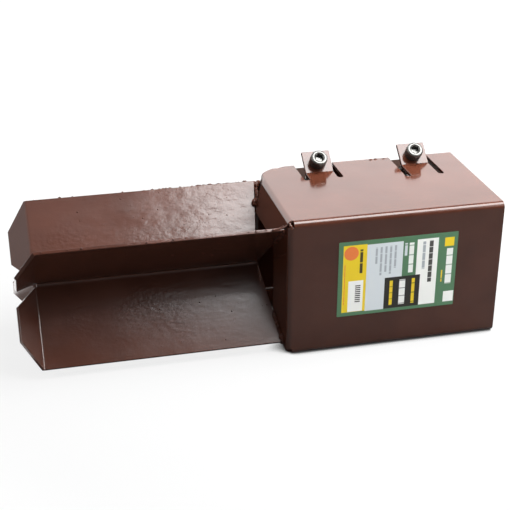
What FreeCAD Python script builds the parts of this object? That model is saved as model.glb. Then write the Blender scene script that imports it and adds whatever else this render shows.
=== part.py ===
"""Bolt-clamp post base for setting in concrete, lying on one side of its box.

A square box folded from one steel sheet holds a timber post.  The box is
open along one long corner, where two pairs of bent-out ears and two cap
screws pull it tight on the post.  Two folded angles, back to back, make a
cross-shaped tail that is cast into the concrete.

X runs along the post, with the mouth of the box at +X.  The origin is the
middle of the box wall that lies on the ground, and +Z is up.
"""
import FreeCAD, Part
import math
import os
import Sketcher

V = FreeCAD.Vector

# ---------------------------------------------------------------- sizes, mm
SIZES = [
    # the folded sheet
    ("sheet_gauge", 2.5, "steel sheet of the box and of the tail"),
    ("bend_inner", 2.0, "inside radius of every fold"),
    # the box that holds the post
    ("post_room", 101.0, "clear width inside the box, for a 100 mm post"),
    ("box_length", 162.0, "closed end to mouth"),
    ("flap_depth", 25.0, "how far each end flap reaches in from its wall"),
    ("flap_lean", 11.0, "degrees each end flap leans out of square"),
    ("mitre_gap", 0.5, "half the gap between neighbouring end flaps"),
    ("seam_gap", 0.4, "open seam, top wall to rear wall"),
    ("seam_rounding", 25.0, "corner radius of both seam walls at the closed end"),
    # the clamp ears
    ("ear_width", 22.0, "ear, along the post"),
    ("ear_length", 18.8, "fold line of an ear to its end"),
    ("ear_lean", 40.0, "degrees an ear rises from the top wall"),
    ("near_station", 47.6, "closed end to the middle of the first ears"),
    ("far_station_from_mouth", 36.8, "mouth to the middle of the second ears"),
    ("relief_width", 4.4, "slot each side of an ear"),
    ("near_relief_past", 12.7, "slots at the first ears, beyond the ears' fold line"),
    ("far_relief_past", 22.7, "slots at the second ears, beyond the fold line"),
    ("ear_hole_clearance", 1.0, "diameter of an ear's hole over the screw"),
    ("ear_hole_rise", 9.0, "fold line of a top ear to its hole"),
    # the cap screws and nuts
    ("screw_shank", 8.0, "M8"),
    ("screw_show", 4.8, "screw's end beyond the nut"),
    ("cap_width", 13.0, "diameter of the head"),
    ("cap_height", 8.0, "height of the head"),
    ("cap_rounding", 1.6, "rounded rim of the head"),
    ("key_flats", 6.0, "hexagon socket, across flats"),
    ("key_depth", 4.2, "hexagon socket, depth"),
    ("point_chamfer", 1.0, "chamfer at the screw's end"),
    ("nut_flats", 13.0, "across flats"),
    ("nut_height", 6.5, "height of the nut"),
    ("nut_crown", 0.9, "height lost at the nut's corners"),
    ("nut_crown_inset", 0.2, "from the middle of a flat to the crown's flat circle"),
    ("nut_clearance", 0.1, "diameter of the nut's bore over the shank"),
    # the tail
    ("leg_inset", 10.3, "corner of the box to the edge of a leg, seen from the end"),
    ("tail_length", 175.3, "closed end to the fold line of the end tabs"),
    ("tab_length", 17.7, "fold line to the tip of a tab"),
    ("tab_taper", 19.5, "width lost at each side of a tab"),
    ("tab_lean", 35.5, "degrees a tab is folded into the angle"),
    ("fit_up_gap", 0.2, "weld gap, tail to end flaps"),
    ("back_gap", 0.2, "gap between the two tail angles"),
    # the paper label
    ("label_length", 90.4, "along the post"),
    ("label_width", 59.7, "up the front wall"),
    ("label_paper", 0.2, "thickness"),
    ("label_from_end", 36.9, "closed end to the label"),
    ("label_above_middle", 4.25, "middle of the front wall to the middle of the label"),
]

doc = FreeCAD.newDocument("post_base")
sizes = doc.addObject("Spreadsheet::Sheet", "Sizes")
for row, (alias, number, meaning) in enumerate(SIZES, start=1):
    sizes.set(f"A{row}", alias)
    sizes.set(f"B{row}", str(number))
    sizes.set(f"C{row}", meaning)
    sizes.setAlias(f"B{row}", alias)
doc.recompute()

# ------------------------------------------- sizes that follow from the sheet
GAUGE = "Sizes.sheet_gauge"
FOLD_IN = "Sizes.bend_inner"
FOLD_OUT = f"({FOLD_IN} + {GAUGE})"
FOLD_MID = f"({FOLD_IN} + {GAUGE} / 2)"
ROOM = "Sizes.post_room / 2"
HALF = f"({ROOM} + {GAUGE})"
MOUTH = "Sizes.box_length"

LEAN = "Sizes.flap_lean"
END_TURN = f"(90 - {LEAN})"
# the straight walls start where the end folds finish
WALL_START = f"({FOLD_OUT} * tan({END_TURN} / 2))"

# an ear's fold line is where the two outer faces would meet
EAR_LEAN = "Sizes.ear_lean"
EAR_FOLD = f"({HALF} - Sizes.ear_length)"
EAR_START = f"({EAR_FOLD} - {FOLD_IN} * tan({EAR_LEAN} / 2))"
EAR_FLAT = f"(Sizes.ear_length - {FOLD_IN} * tan({EAR_LEAN} / 2))"
REAR_TURN = f"(90 - {EAR_LEAN})"
REAR_EDGE = f"({ROOM} - Sizes.seam_gap)"
REAR_FOLD = f"({REAR_EDGE} - Sizes.ear_length)"
REAR_START = f"({REAR_FOLD} - {FOLD_IN} * tan({REAR_TURN} / 2))"
REAR_FLAT = f"(Sizes.ear_length - {FOLD_IN} * tan({REAR_TURN} / 2))"
# outer face of a top ear to outer face of its rear ear, along the screw
GRIP = f"(({HALF} - {EAR_FOLD}) * sin({EAR_LEAN}) + ({HALF} - {REAR_FOLD}) * cos({EAR_LEAN}))"

# each tail angle is moved forward so that the round backs leave the back gap
TAIL_SHIFT = f"({FOLD_OUT} + Sizes.back_gap / 2 - sqrt(2) * {FOLD_MID})"
TAB_TURN = "Sizes.tab_lean"
TAB_START = f"({FOLD_MID} * tan({TAB_TURN} / 2))"

# each pair of ears: its middle, and how far its slots run from the box corner
STATIONS = {
    "near": ("Sizes.near_station", "(Sizes.ear_length + Sizes.near_relief_past)"),
    "far": (f"({MOUTH} - Sizes.far_station_from_mouth)", "(Sizes.ear_length + Sizes.far_relief_past)"),
}

EAR_HOLE = "(Sizes.screw_shank + Sizes.ear_hole_clearance)"
SCREW_REACH = f"({GRIP} + Sizes.nut_height + Sizes.screw_show)"
# the legs of the cross lie on the diagonals of the box
LEG_REACH = f"(sqrt(2) * {HALF} - Sizes.leg_inset)"


# ------------------------------------------------------------ drawing helpers
def number_of(expression):
    """The present value of an expression on the sheet."""
    return float(sizes.evalExpression(expression))


def new_body(label):
    body = doc.addObject("PartDesign::Body", label)
    body.Label = label
    return body


def sketch_on(body, name, role, base=("0", "0", "0"), axis=None, turn="0"):
    """A sketch on one of the body's own planes, moved and turned by the sheet."""
    sketch = body.newObject("Sketcher::SketchObject", name)
    plane = next(f for f in body.Origin.OriginFeatures if f.Role == role)
    sketch.AttachmentSupport = [(plane, "")]
    sketch.MapMode = "FlatFace"
    if axis is not None:
        rotation = FreeCAD.Rotation(axis, number_of(turn))
        sketch.AttachmentOffset = FreeCAD.Placement(V(0, 0, 0), rotation)
        sketch.setExpression("AttachmentOffset.Rotation.Angle", turn)
    for letter, expression in zip("xyz", base):
        if expression != "0":
            sketch.setExpression(f"AttachmentOffset.Base.{letter}", expression)
    return sketch


def bind(sketch, kind, *references, to):
    """A dimension that takes its value from the sheet."""
    index = sketch.addConstraint(Sketcher.Constraint(kind, *references, number_of(to)))
    sketch.setExpression(f"Constraints[{index}]", to)


def outline(sketch, corners, arcs=None):
    """A closed outline.  corners are pairs of expressions; arcs[i] is
    (radius, centre, counter-clockwise) for the edge that leaves corner i.
    Both ends and the height of its centre fix an arc, a half circle too."""
    arcs = arcs or {}
    points = [V(number_of(across), number_of(up), 0) for across, up in corners]
    starts = []
    for i, here in enumerate(points):
        there = points[(i + 1) % len(points)]
        if i not in arcs:
            edge = sketch.addGeometry(Part.LineSegment(here, there), False)
            starts.append((edge, 1, 2))
            continue
        radius, centre, ccw = arcs[i]
        middle = V(number_of(centre[0]), number_of(centre[1]), 0)
        first, last = (here, there) if ccw else (there, here)
        begin = math.atan2(first.y - middle.y, first.x - middle.x)
        end = math.atan2(last.y - middle.y, last.x - middle.x)
        if end <= begin:
            end += 2 * math.pi
        circle = Part.Circle(middle, V(0, 0, 1), number_of(radius))
        edge = sketch.addGeometry(Part.ArcOfCircle(circle, begin, end), False)
        starts.append((edge, 1, 2) if ccw else (edge, 2, 1))
    for i, (edge, _, tail) in enumerate(starts):
        following, head, _ = starts[(i + 1) % len(starts)]
        sketch.addConstraint(Sketcher.Constraint("Coincident", edge, tail, following, head))
    for (edge, head, _), (across, up) in zip(starts, corners):
        bind(sketch, "DistanceX", -1, 1, edge, head, to=across)
        bind(sketch, "DistanceY", -1, 1, edge, head, to=up)
    for i, (_, centre, _) in arcs.items():
        bind(sketch, "DistanceY", -1, 1, starts[i][0], 3, to=centre[1])


def rectangle(sketch, left, low, right, high):
    outline(sketch, [(left, low), (right, low), (right, high), (left, high)])


def circle(sketch, across, up, diameter):
    middle = V(number_of(across), number_of(up), 0)
    ring = sketch.addGeometry(Part.Circle(middle, V(0, 0, 1), number_of(diameter) / 2), False)
    bind(sketch, "DistanceX", -1, 1, ring, 3, to=across)
    bind(sketch, "DistanceY", -1, 1, ring, 3, to=up)
    bind(sketch, "Diameter", ring, to=diameter)


def hexagon(sketch, flats):
    """A regular hexagon about the sketch's origin, corners on its X axis."""
    corner = f"({flats} / sqrt(3))"
    turns = range(0, 360, 60)
    outline(sketch, [(f"{corner} * cos({a})", f"{corner} * sin({a})") for a in turns])


def pad(body, name, sketch, length, both_ways=False, reverse=False):
    feature = body.newObject("PartDesign::Pad", name)
    feature.Profile = sketch
    feature.setExpression("Length", length)
    if both_ways:
        feature.SideType = "Symmetric"
    feature.Reversed = reverse
    sketch.Visibility = False
    return feature


def pocket(body, name, sketch, length=None, both_ways=False, reverse=False):
    """A cut that has to take something away; without a length it goes through."""
    doc.recompute()
    before = body.Shape.Volume
    feature = body.newObject("PartDesign::Pocket", name)
    feature.Profile = sketch
    if length is None:
        feature.Type = "ThroughAll"
    else:
        feature.setExpression("Length", length)
    if both_ways:
        feature.SideType = "Symmetric"
    feature.Reversed = reverse
    sketch.Visibility = False
    doc.recompute()
    if not body.Shape.Volume < before:
        raise ValueError(f"{name} cuts nothing")
    return feature


def fillet(body, name, lines, radius):
    """Round the edges that run along X through the given (y, z) places."""
    doc.recompute()
    tip = body.Tip
    wanted = [(number_of(y), number_of(z)) for y, z in lines]
    names = []
    for i, edge in enumerate(tip.Shape.Edges, start=1):
        first = edge.Vertexes[0].Point
        last = edge.Vertexes[-1].Point
        along_x = abs(first.y - last.y) < 1e-6 and abs(first.z - last.z) < 1e-6
        if not along_x or abs(first.x - last.x) < 1e-6:
            continue
        if any(abs(first.y - y) < 1e-4 and abs(first.z - z) < 1e-4 for y, z in wanted):
            names.append(f"Edge{i}")
    if len(names) != len(wanted):
        raise ValueError(f"{name} found {len(names)} edges of {len(wanted)}")
    feature = body.newObject("PartDesign::Fillet", name)
    feature.Base = (tip, names)
    feature.setExpression("Radius", radius)
    return feature


def stand(body, base, axis=None, turn="0"):
    """Put a finished body in its place, by expressions on the sheet."""
    if axis is not None:
        body.Placement = FreeCAD.Placement(V(0, 0, 0), FreeCAD.Rotation(axis, number_of(turn)))
        body.setExpression("Placement.Rotation.Angle", turn)
    for letter, expression in zip("xyz", base):
        body.setExpression(f"Placement.Base.{letter}", expression)


# the post's axis at the closed end, in the part's frame
AXIS_X = f"(0 - {MOUTH} / 2)"
AXIS_Z = HALF


# ------------------------------------------------------------------- the box
def end_flap(body):
    """One end flap and its fold, then the same on all four walls."""
    fold = sketch_on(body, "end_fold_profile", "XZ_Plane")
    centre = (WALL_START, f"{HALF} - {FOLD_OUT}")
    outer_end = (
        f"{WALL_START} - {FOLD_OUT} * cos({LEAN})",
        f"{HALF} - {FOLD_OUT} + {FOLD_OUT} * sin({LEAN})",
    )
    inner_end = (
        f"{WALL_START} - {FOLD_IN} * cos({LEAN})",
        f"{HALF} - {FOLD_OUT} + {FOLD_IN} * sin({LEAN})",
    )
    corners = [(WALL_START, HALF), outer_end, inner_end, (WALL_START, f"{HALF} - {GAUGE}")]
    arcs = {0: (FOLD_OUT, centre, True), 2: (FOLD_IN, centre, False)}
    outline(fold, corners, arcs)
    fold_pad = pad(body, "end_fold", fold, f"2 * ({HALF} - {FOLD_OUT})", both_ways=True)

    # the flap's sketch lies on its outer face, with the fold line at the top
    flap = sketch_on(body, "end_flap_outline", "YZ_Plane", ("0", HALF, "0"), V(1, 0, 0), LEAN)
    top = f"(0 - {WALL_START})"
    foot = f"(0 - Sizes.flap_depth / cos({LEAN}))"
    wide = f"({HALF} - {FOLD_OUT})"
    narrow = f"({HALF} - Sizes.flap_depth - Sizes.mitre_gap)"
    corners = [(f"0 - {wide}", top), (f"0 - {narrow}", foot), (narrow, foot), (wide, top)]
    outline(flap, corners)
    flap_pad = pad(body, "end_flap", flap, GAUGE)

    around = body.newObject("PartDesign::PolarPattern", "end_flaps")
    around.Originals = [fold_pad, flap_pad]
    axis = next(f for f in body.Origin.OriginFeatures if f.Role == "X_Axis")
    around.Axis = (axis, [""])
    around.Angle = 360
    around.Occurrences = 4
    body.Tip = around


def round_seam_corners(body):
    """Round the top and rear walls at the closed end, and clear the flaps there."""
    bend = "Sizes.seam_rounding"
    inner = f"({HALF} - {bend})"
    past = f"({HALF} + {GAUGE})"
    corners = [("0", inner), (bend, HALF), (bend, past), (f"0 - {bend}", past), (f"0 - {bend}", inner)]
    arcs = {0: (bend, (bend, inner), False)}

    top = sketch_on(body, "top_corner", "XY_Plane", ("0", "0", HALF))
    outline(top, corners, arcs)
    pocket(body, "top_corner_cut", top, f"{GAUGE} + Sizes.seam_gap / 2")

    rear = sketch_on(body, "rear_corner", "XZ_Plane", ("0", "0", f"0 - {HALF}"))
    outline(rear, corners, arcs)
    pocket(body, "rear_corner_cut", rear, GAUGE, reverse=True)

    both = sketch_on(body, "flap_corner", "YZ_Plane", ("0", "0", WALL_START))
    rectangle(both, inner, inner, past, past)
    pocket(body, "flap_corner_cut", both, f"Sizes.flap_depth + {WALL_START}")


def slot_corners(middle, side, run):
    """A relief slot: open at the seam, round at its blind end."""
    near = f"({middle} {side} Sizes.ear_width / 2)"
    away = f"({middle} {side} (Sizes.ear_width / 2 + Sizes.relief_width))"
    left, right = (away, near) if side == "-" else (near, away)
    blind = f"({HALF} - {run} + Sizes.relief_width / 2)"
    past = f"({HALF} + {GAUGE})"
    centre = (f"({left} + {right}) / 2", blind)
    corners = [(left, past), (left, blind), (right, blind), (right, past)]
    return corners, {1: ("Sizes.relief_width / 2", centre, True)}


def open_ear_windows(body):
    """Cut the relief slots, and the strip between them that becomes an ear."""
    faces = {
        "top": ("XY_Plane", HALF, f"{GAUGE} + Sizes.seam_gap / 2", EAR_START, False),
        "rear": ("XZ_Plane", f"0 - {HALF}", GAUGE, REAR_START, True),
    }
    for wall, (role, lift, depth, start, reverse) in faces.items():
        slots = sketch_on(body, f"{wall}_slots", role, ("0", "0", lift))
        for middle, run in STATIONS.values():
            outline(slots, *slot_corners(middle, "-", run))
            outline(slots, *slot_corners(middle, "+", run))
        pocket(body, f"{wall}_slot_cut", slots, depth, reverse=reverse)
        strips = sketch_on(body, f"{wall}_strips", role, ("0", "0", lift))
        half_strip = "(Sizes.ear_width / 2 + Sizes.relief_width / 2)"
        for middle, _ in STATIONS.values():
            left = f"{middle} - {half_strip}"
            right = f"{middle} + {half_strip}"
            rectangle(strips, left, start, right, f"{HALF} + {GAUGE}")
        pocket(body, f"{wall}_strip_cut", strips, depth, reverse=reverse)


def top_ear_profile(sketch):
    """Section of a top ear: the wall's strip folded up and back."""
    centre = (EAR_START, f"{HALF} + {FOLD_IN}")
    rise = f"sin({EAR_LEAN})"
    run = f"cos({EAR_LEAN})"
    face_y = f"({EAR_START} + {FOLD_IN} * {rise})"
    face_z = f"({HALF} + {FOLD_IN} - {FOLD_IN} * {run})"
    tip_y = f"({face_y} + {EAR_FLAT} * {run})"
    tip_z = f"({face_z} + {EAR_FLAT} * {rise})"
    corners = [
        (EAR_START, HALF),
        (face_y, face_z),
        (tip_y, tip_z),
        (f"{tip_y} + {GAUGE} * {rise}", f"{tip_z} - {GAUGE} * {run}"),
        (f"{face_y} + {GAUGE} * {rise}", f"{face_z} - {GAUGE} * {run}"),
        (EAR_START, f"{HALF} - {GAUGE}"),
    ]
    arcs = {0: (FOLD_IN, centre, True), 4: (FOLD_OUT, centre, False)}
    outline(sketch, corners, arcs)


def rear_ear_profile(sketch):
    """Section of a rear ear: the same strip of the rear wall, folded out."""
    centre = (f"{HALF} + {FOLD_IN}", REAR_START)
    rise = f"sin({EAR_LEAN})"
    run = f"cos({EAR_LEAN})"
    face_y = f"({HALF} + {FOLD_IN} - {FOLD_IN} * {rise})"
    face_z = f"({REAR_START} + {FOLD_IN} * {run})"
    tip_y = f"({face_y} + {REAR_FLAT} * {run})"
    tip_z = f"({face_z} + {REAR_FLAT} * {rise})"
    corners = [
        (HALF, REAR_START),
        (face_y, face_z),
        (tip_y, tip_z),
        (f"{tip_y} - {GAUGE} * {rise}", f"{tip_z} + {GAUGE} * {run}"),
        (f"{face_y} - {GAUGE} * {rise}", f"{face_z} + {GAUGE} * {run}"),
        (f"{HALF} - {GAUGE}", REAR_START),
    ]
    arcs = {0: (FOLD_IN, centre, False), 4: (FOLD_OUT, centre, True)}
    outline(sketch, corners, arcs)


def make_box():
    body = new_body("socket_shell")
    walls = sketch_on(body, "wall_section", "YZ_Plane", ("0", "0", WALL_START))
    neg_half = f"(0 - {HALF})"
    neg_room = f"(0 - {ROOM})"
    corners = [
        (HALF, HALF), (neg_half, HALF), (neg_half, neg_half), (HALF, neg_half),
        (HALF, REAR_EDGE), (ROOM, REAR_EDGE), (ROOM, neg_room), (neg_room, neg_room),
        (neg_room, ROOM), (HALF, ROOM),
    ]
    outline(walls, corners)
    pad(body, "walls", walls, f"{MOUTH} - {WALL_START}")
    outside = [(neg_half, HALF), (neg_half, neg_half), (HALF, neg_half)]
    inside = [(neg_room, ROOM), (neg_room, neg_room), (ROOM, neg_room)]
    fillet(body, "outer_folds", outside, FOLD_OUT)
    fillet(body, "inner_folds", inside, FOLD_IN)
    end_flap(body)
    round_seam_corners(body)
    open_ear_windows(body)
    for place, (middle, _) in STATIONS.items():
        for wall, profile in (("top", top_ear_profile), ("rear", rear_ear_profile)):
            section = sketch_on(body, f"{place}_{wall}_ear_section", "YZ_Plane", ("0", "0", middle))
            profile(section)
            pad(body, f"{place}_{wall}_ear", section, "Sizes.ear_width", both_ways=True)
    # the screw holes are drilled square to the ears, through both at once
    holes = sketch_on(body, "ear_holes", "XY_Plane", ("0", EAR_FOLD, HALF), V(1, 0, 0), EAR_LEAN)
    for middle, _ in STATIONS.values():
        circle(holes, middle, "Sizes.ear_hole_rise", EAR_HOLE)
    pocket(body, "ear_hole_cut", holes, f"{GRIP} + 2 * {GAUGE}")
    stand(body, (AXIS_X, "0", AXIS_Z))
    return body


# ------------------------------------------------------------------ the tail
def make_tail_angle(label, turn, side):
    """One folded angle.  Its legs lie on the body's own XY and XZ planes, and
    the tabs at its far end are folded into the angle."""
    body = new_body(label)
    reach = LEG_REACH
    back = f"(0 - {GAUGE} / 2)"
    face = f"({GAUGE} / 2)"
    straight = f"(Sizes.tail_length - {TAB_START})"
    section = sketch_on(body, "angle_section", "YZ_Plane")
    corners = [(back, back), (reach, back), (reach, face), (face, face), (face, reach), (back, reach)]
    outline(section, corners)
    pad(body, "angle", section, straight, reverse=True)
    fillet(body, "outer_fold", [(back, back)], FOLD_OUT)
    fillet(body, "inner_fold", [(face, face)], FOLD_IN)

    # the box end of both legs is cut to the slope of the end flaps
    bevel = sketch_on(body, "bevel", "XY_Plane", ("0", "0", "0"), V(1, 0, 0), "45")

    def slope_at(out):
        return f"(0 - tan({LEAN}) * ({HALF} - {out} - {TAIL_SHIFT}) - Sizes.fit_up_gap / cos({LEAN}))"

    low = f"(0 - {FOLD_OUT})"
    corners = [(slope_at(low), low), (HALF, low), (HALF, reach), (slope_at(reach), reach)]
    outline(bevel, corners)
    pocket(body, "bevel_cut", bevel, f"4 * {reach}", both_ways=True)

    # a tab on each leg: a fold, then a tapered flat
    start = f"(0 - {straight})"
    root = f"{FOLD_MID}"
    bend = TAB_TURN
    for leg, fold_plane, flat_plane, lift, reverse, lean in (
        ("upper", "XZ_Plane", "XY_Plane", f"0 - {root}", True, bend),
        ("lower", "XY_Plane", "XZ_Plane", root, False, f"(0 - {bend})"),
    ):
        fold = sketch_on(body, f"{leg}_tab_section", fold_plane, ("0", "0", lift))
        centre = (start, f"{face} + {FOLD_IN}")
        fold_corners = [
            (start, back),
            (start, face),
            (f"{start} - {FOLD_IN} * sin({bend})", f"{face} + {FOLD_IN} - {FOLD_IN} * cos({bend})"),
            (f"{start} - {FOLD_OUT} * sin({bend})", f"{face} + {FOLD_IN} - {FOLD_OUT} * cos({bend})"),
        ]
        arcs = {1: (FOLD_IN, centre, False), 3: (FOLD_OUT, centre, True)}
        outline(fold, fold_corners, arcs)
        pad(body, f"{leg}_tab_fold", fold, f"{reach} - {root}", reverse=reverse)
        base = ("0 - Sizes.tail_length", "0", "0")
        flat = sketch_on(body, f"{leg}_tab_outline", flat_plane, base, V(0, 1, 0), lean)
        near = f"(0 - {TAB_START})"
        tip = "(0 - Sizes.tab_length)"
        tab_corners = [
            (near, root), (near, reach),
            (tip, f"{reach} - Sizes.tab_taper"), (tip, "Sizes.tab_taper"),
        ]
        outline(flat, tab_corners)
        pad(body, f"{leg}_tab", flat, GAUGE, both_ways=True)
    stand(body, (AXIS_X, f"{side} * {TAIL_SHIFT}", AXIS_Z), V(1, 0, 0), turn)
    return body


# ----------------------------------------------------------- screws and nuts
def on_screw_axis(middle, depth):
    """A place on a screw's axis, a given depth below the top ear's outer face."""
    rise = "Sizes.ear_hole_rise"
    along = f"{EAR_FOLD} + {rise} * cos({EAR_LEAN}) + {depth} * sin({EAR_LEAN})"
    height = f"{AXIS_Z} + {HALF} + {rise} * sin({EAR_LEAN}) - {depth} * cos({EAR_LEAN})"
    return (f"{AXIS_X} + {middle}", along, height)


def make_screw(label, middle):
    """A socket-head cap screw; its own Z axis points out of the head."""
    body = new_body(label)
    profile = sketch_on(body, "turned_profile", "XZ_Plane")
    cap = "(Sizes.cap_width / 2)"
    shank = "(Sizes.screw_shank / 2)"
    rim = "Sizes.cap_rounding"
    nip = "Sizes.point_chamfer"
    end = f"(0 - {SCREW_REACH})"
    corners = [
        ("0", end), (f"{shank} - {nip}", end), (shank, f"{end} + {nip}"), (shank, "0"), (cap, "0"),
        (cap, f"Sizes.cap_height - {rim}"), (f"{cap} - {rim}", "Sizes.cap_height"), ("0", "Sizes.cap_height"),
    ]
    arcs = {5: (rim, (f"{cap} - {rim}", f"Sizes.cap_height - {rim}"), True)}
    outline(profile, corners, arcs)
    turned = body.newObject("PartDesign::Revolution", "turned")
    turned.Profile = profile
    axis = next(f for f in body.Origin.OriginFeatures if f.Role == "Z_Axis")
    turned.ReferenceAxis = (axis, [""])
    turned.Angle = 360
    key = sketch_on(body, "key_outline", "XY_Plane", ("0", "0", "Sizes.cap_height"))
    hexagon(key, "Sizes.key_flats")
    pocket(body, "key_socket", key, "Sizes.key_depth")
    stand(body, on_screw_axis(middle, "0"), V(1, 0, 0), EAR_LEAN)
    return body


def make_nut(label, middle):
    """A hexagon nut, bearing face at its own origin, crowned on the far side."""
    body = new_body(label)
    profile = sketch_on(body, "hexagon", "XY_Plane")
    hexagon(profile, "Sizes.nut_flats")
    pad(body, "prism", profile, "Sizes.nut_height", reverse=True)
    bore = sketch_on(body, "bore", "XY_Plane")
    circle(bore, "0", "0", "Sizes.screw_shank + Sizes.nut_clearance")
    pocket(body, "bore_cut", bore)
    # a cone that starts inside the flats takes the six corners down
    crown = sketch_on(body, "crown_section", "XZ_Plane")
    far = "(0 - Sizes.nut_height)"
    corner = "(Sizes.nut_flats / sqrt(3))"
    flat = "(Sizes.nut_flats / 2 - Sizes.nut_crown_inset)"
    slope = f"(Sizes.nut_crown / ({corner} - {flat}))"
    outside = f"({corner} + Sizes.nut_crown)"
    corners = [(flat, far), (outside, far), (outside, f"{far} + {slope} * ({outside} - {flat})")]
    outline(crown, corners)
    doc.recompute()
    before = body.Shape.Volume
    groove = body.newObject("PartDesign::Groove", "crown")
    groove.Profile = crown
    axis = next(f for f in body.Origin.OriginFeatures if f.Role == "Z_Axis")
    groove.ReferenceAxis = (axis, [""])
    groove.Angle = 360
    doc.recompute()
    if not body.Shape.Volume < before:
        raise ValueError("crown cuts nothing")
    stand(body, on_screw_axis(middle, GRIP), V(1, 0, 0), EAR_LEAN)
    return body


# ----------------------------------------------------------------- the label
def make_label():
    """A paper label stuck on the front wall."""
    body = new_body("label_sheet")
    face = sketch_on(body, "label_outline", "XZ_Plane", ("0", "0", HALF))
    left = "Sizes.label_from_end"
    low = "(Sizes.label_above_middle - Sizes.label_width / 2)"
    rectangle(face, left, low, f"{left} + Sizes.label_length", f"{low} + Sizes.label_width")
    pad(body, "paper", face, "Sizes.label_paper")
    stand(body, (AXIS_X, "0", AXIS_Z))
    return body


parts = [
    make_box(),
    make_tail_angle("tail_angle_front", "135", "-1"),
    make_tail_angle("tail_angle_rear", "315", "1"),
]
for number, (place, (middle, _)) in enumerate(STATIONS.items(), start=1):
    parts.append(make_screw(f"clamp_screw_{number}", middle))
    parts.append(make_nut(f"clamp_nut_{number}", middle))
parts.append(make_label())
doc.recompute()

# ---------------------------------------------------------- checks and export
for item in doc.Objects:
    if "Invalid" in item.State or "Error" in item.State:
        raise RuntimeError(f"{item.Label} did not compute")
for part in parts:
    if part.Shape.isNull() or not part.Shape.isValid():
        raise RuntimeError(f"{part.Label} has no valid shape")
    if len(part.Shape.Solids) != 1:
        raise RuntimeError(f"{part.Label} is {len(part.Shape.Solids)} solids")

os.makedirs("parts", exist_ok=True)
for part in parts:
    part.Shape.exportStep(f"parts/{part.Label}.step")
    box = part.Shape.BoundBox
    print(f"{part.Label}: {part.Shape.Volume / 1000:.2f} cm3,",
          f"X {box.XMin:.1f} to {box.XMax:.1f}, Y {box.YMin:.1f} to {box.YMax:.1f},",
          f"Z {box.ZMin:.1f} to {box.ZMax:.1f}")
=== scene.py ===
# %% [markdown]
# # A bolt-clamp post base in brown dip paint
#
# A square steel box holds a timber post, and a cross-shaped tail is cast into
# a concrete footing.  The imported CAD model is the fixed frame.  This lesson
# gives it its finish: thick paint on folded sheet, hand-laid welds, zinc cap
# screws with real threads, and a printed label.

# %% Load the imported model
import bmesh
import bpy
import math
from mathutils import Matrix, Vector
from mathutils.bvhtree import BVHTree


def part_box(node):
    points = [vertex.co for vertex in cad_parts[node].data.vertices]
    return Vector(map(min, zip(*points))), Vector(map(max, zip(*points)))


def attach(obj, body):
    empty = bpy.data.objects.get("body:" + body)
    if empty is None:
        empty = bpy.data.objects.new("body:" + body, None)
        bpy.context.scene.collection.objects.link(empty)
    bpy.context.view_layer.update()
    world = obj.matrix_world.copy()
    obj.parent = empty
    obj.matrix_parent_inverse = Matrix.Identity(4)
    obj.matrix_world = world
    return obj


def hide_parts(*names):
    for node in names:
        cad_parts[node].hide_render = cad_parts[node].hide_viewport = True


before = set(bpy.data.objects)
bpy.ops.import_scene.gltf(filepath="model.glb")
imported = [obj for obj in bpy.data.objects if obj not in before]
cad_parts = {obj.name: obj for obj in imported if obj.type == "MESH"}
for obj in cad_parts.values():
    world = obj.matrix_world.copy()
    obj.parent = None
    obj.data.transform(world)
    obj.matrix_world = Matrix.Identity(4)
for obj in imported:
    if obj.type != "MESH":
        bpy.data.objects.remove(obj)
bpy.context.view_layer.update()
MM = 0.001
scene = bpy.context.scene
scene.view_settings.view_transform = "Standard"
print("nodes:", sorted(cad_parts))

# %% [markdown]
# ## The camera
#
# A camera is a place, a direction and a lens.  Turning it step by step is
# easier to read than a matrix: first it is tipped up from looking straight
# down, then it is swung round the vertical.  A long lens keeps the parallel
# folds of the box nearly parallel.

# %% Camera
VIEW_PLACE = Vector((-283.3, -781.4, 445.8)) * MM
VIEW_SWING = 13.71
VIEW_DROP = 25.73
VIEW_ROLL = 0.24
LENS, SENSOR_WIDTH = 84.1, 36.0


def turned(degrees, axis):
    return Matrix.Rotation(math.radians(degrees), 4, axis)


camera = bpy.data.objects.new("camera", bpy.data.cameras.new("camera"))
scene.collection.objects.link(camera)
scene.camera = camera
camera.data.lens = LENS
camera.data.sensor_width = SENSOR_WIDTH
camera.matrix_world = (
    Matrix.Translation(VIEW_PLACE)
    @ turned(-VIEW_SWING, "Z")
    @ turned(90 - VIEW_DROP, "X")
    @ turned(VIEW_ROLL, "Z")
)
print("camera at", [round(v, 3) for v in VIEW_PLACE])

# %% [markdown]
# ## A helper for node trees
#
# Materials and Geometry Nodes are both trees of nodes.  One helper makes a
# node, sets its options, and either joins a socket to another node or gives
# it a plain value.  The recipes below then read like a list of ingredients.


# %% Node helper
def node(tree, kind, sockets=None, **options):
    made = tree.nodes.new(kind)
    for option, value in options.items():
        setattr(made, option, value)
    for socket, value in (sockets or {}).items():
        if isinstance(value, bpy.types.NodeSocket):
            tree.links.new(value, made.inputs[socket])
        else:
            made.inputs[socket].default_value = value
    return made


def math_of(tree, operation, first, second=0.0, clamp=False):
    sockets = {0: first, 1: second}
    return node(tree, "ShaderNodeMath", sockets, operation=operation, use_clamp=clamp).outputs[0]


def new_material(name):
    material = bpy.data.materials.new(name)
    material.use_nodes = True
    material.node_tree.nodes.clear()
    return material, material.node_tree


print("helpers:", node.__name__, math_of.__name__, new_material.__name__)

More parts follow.
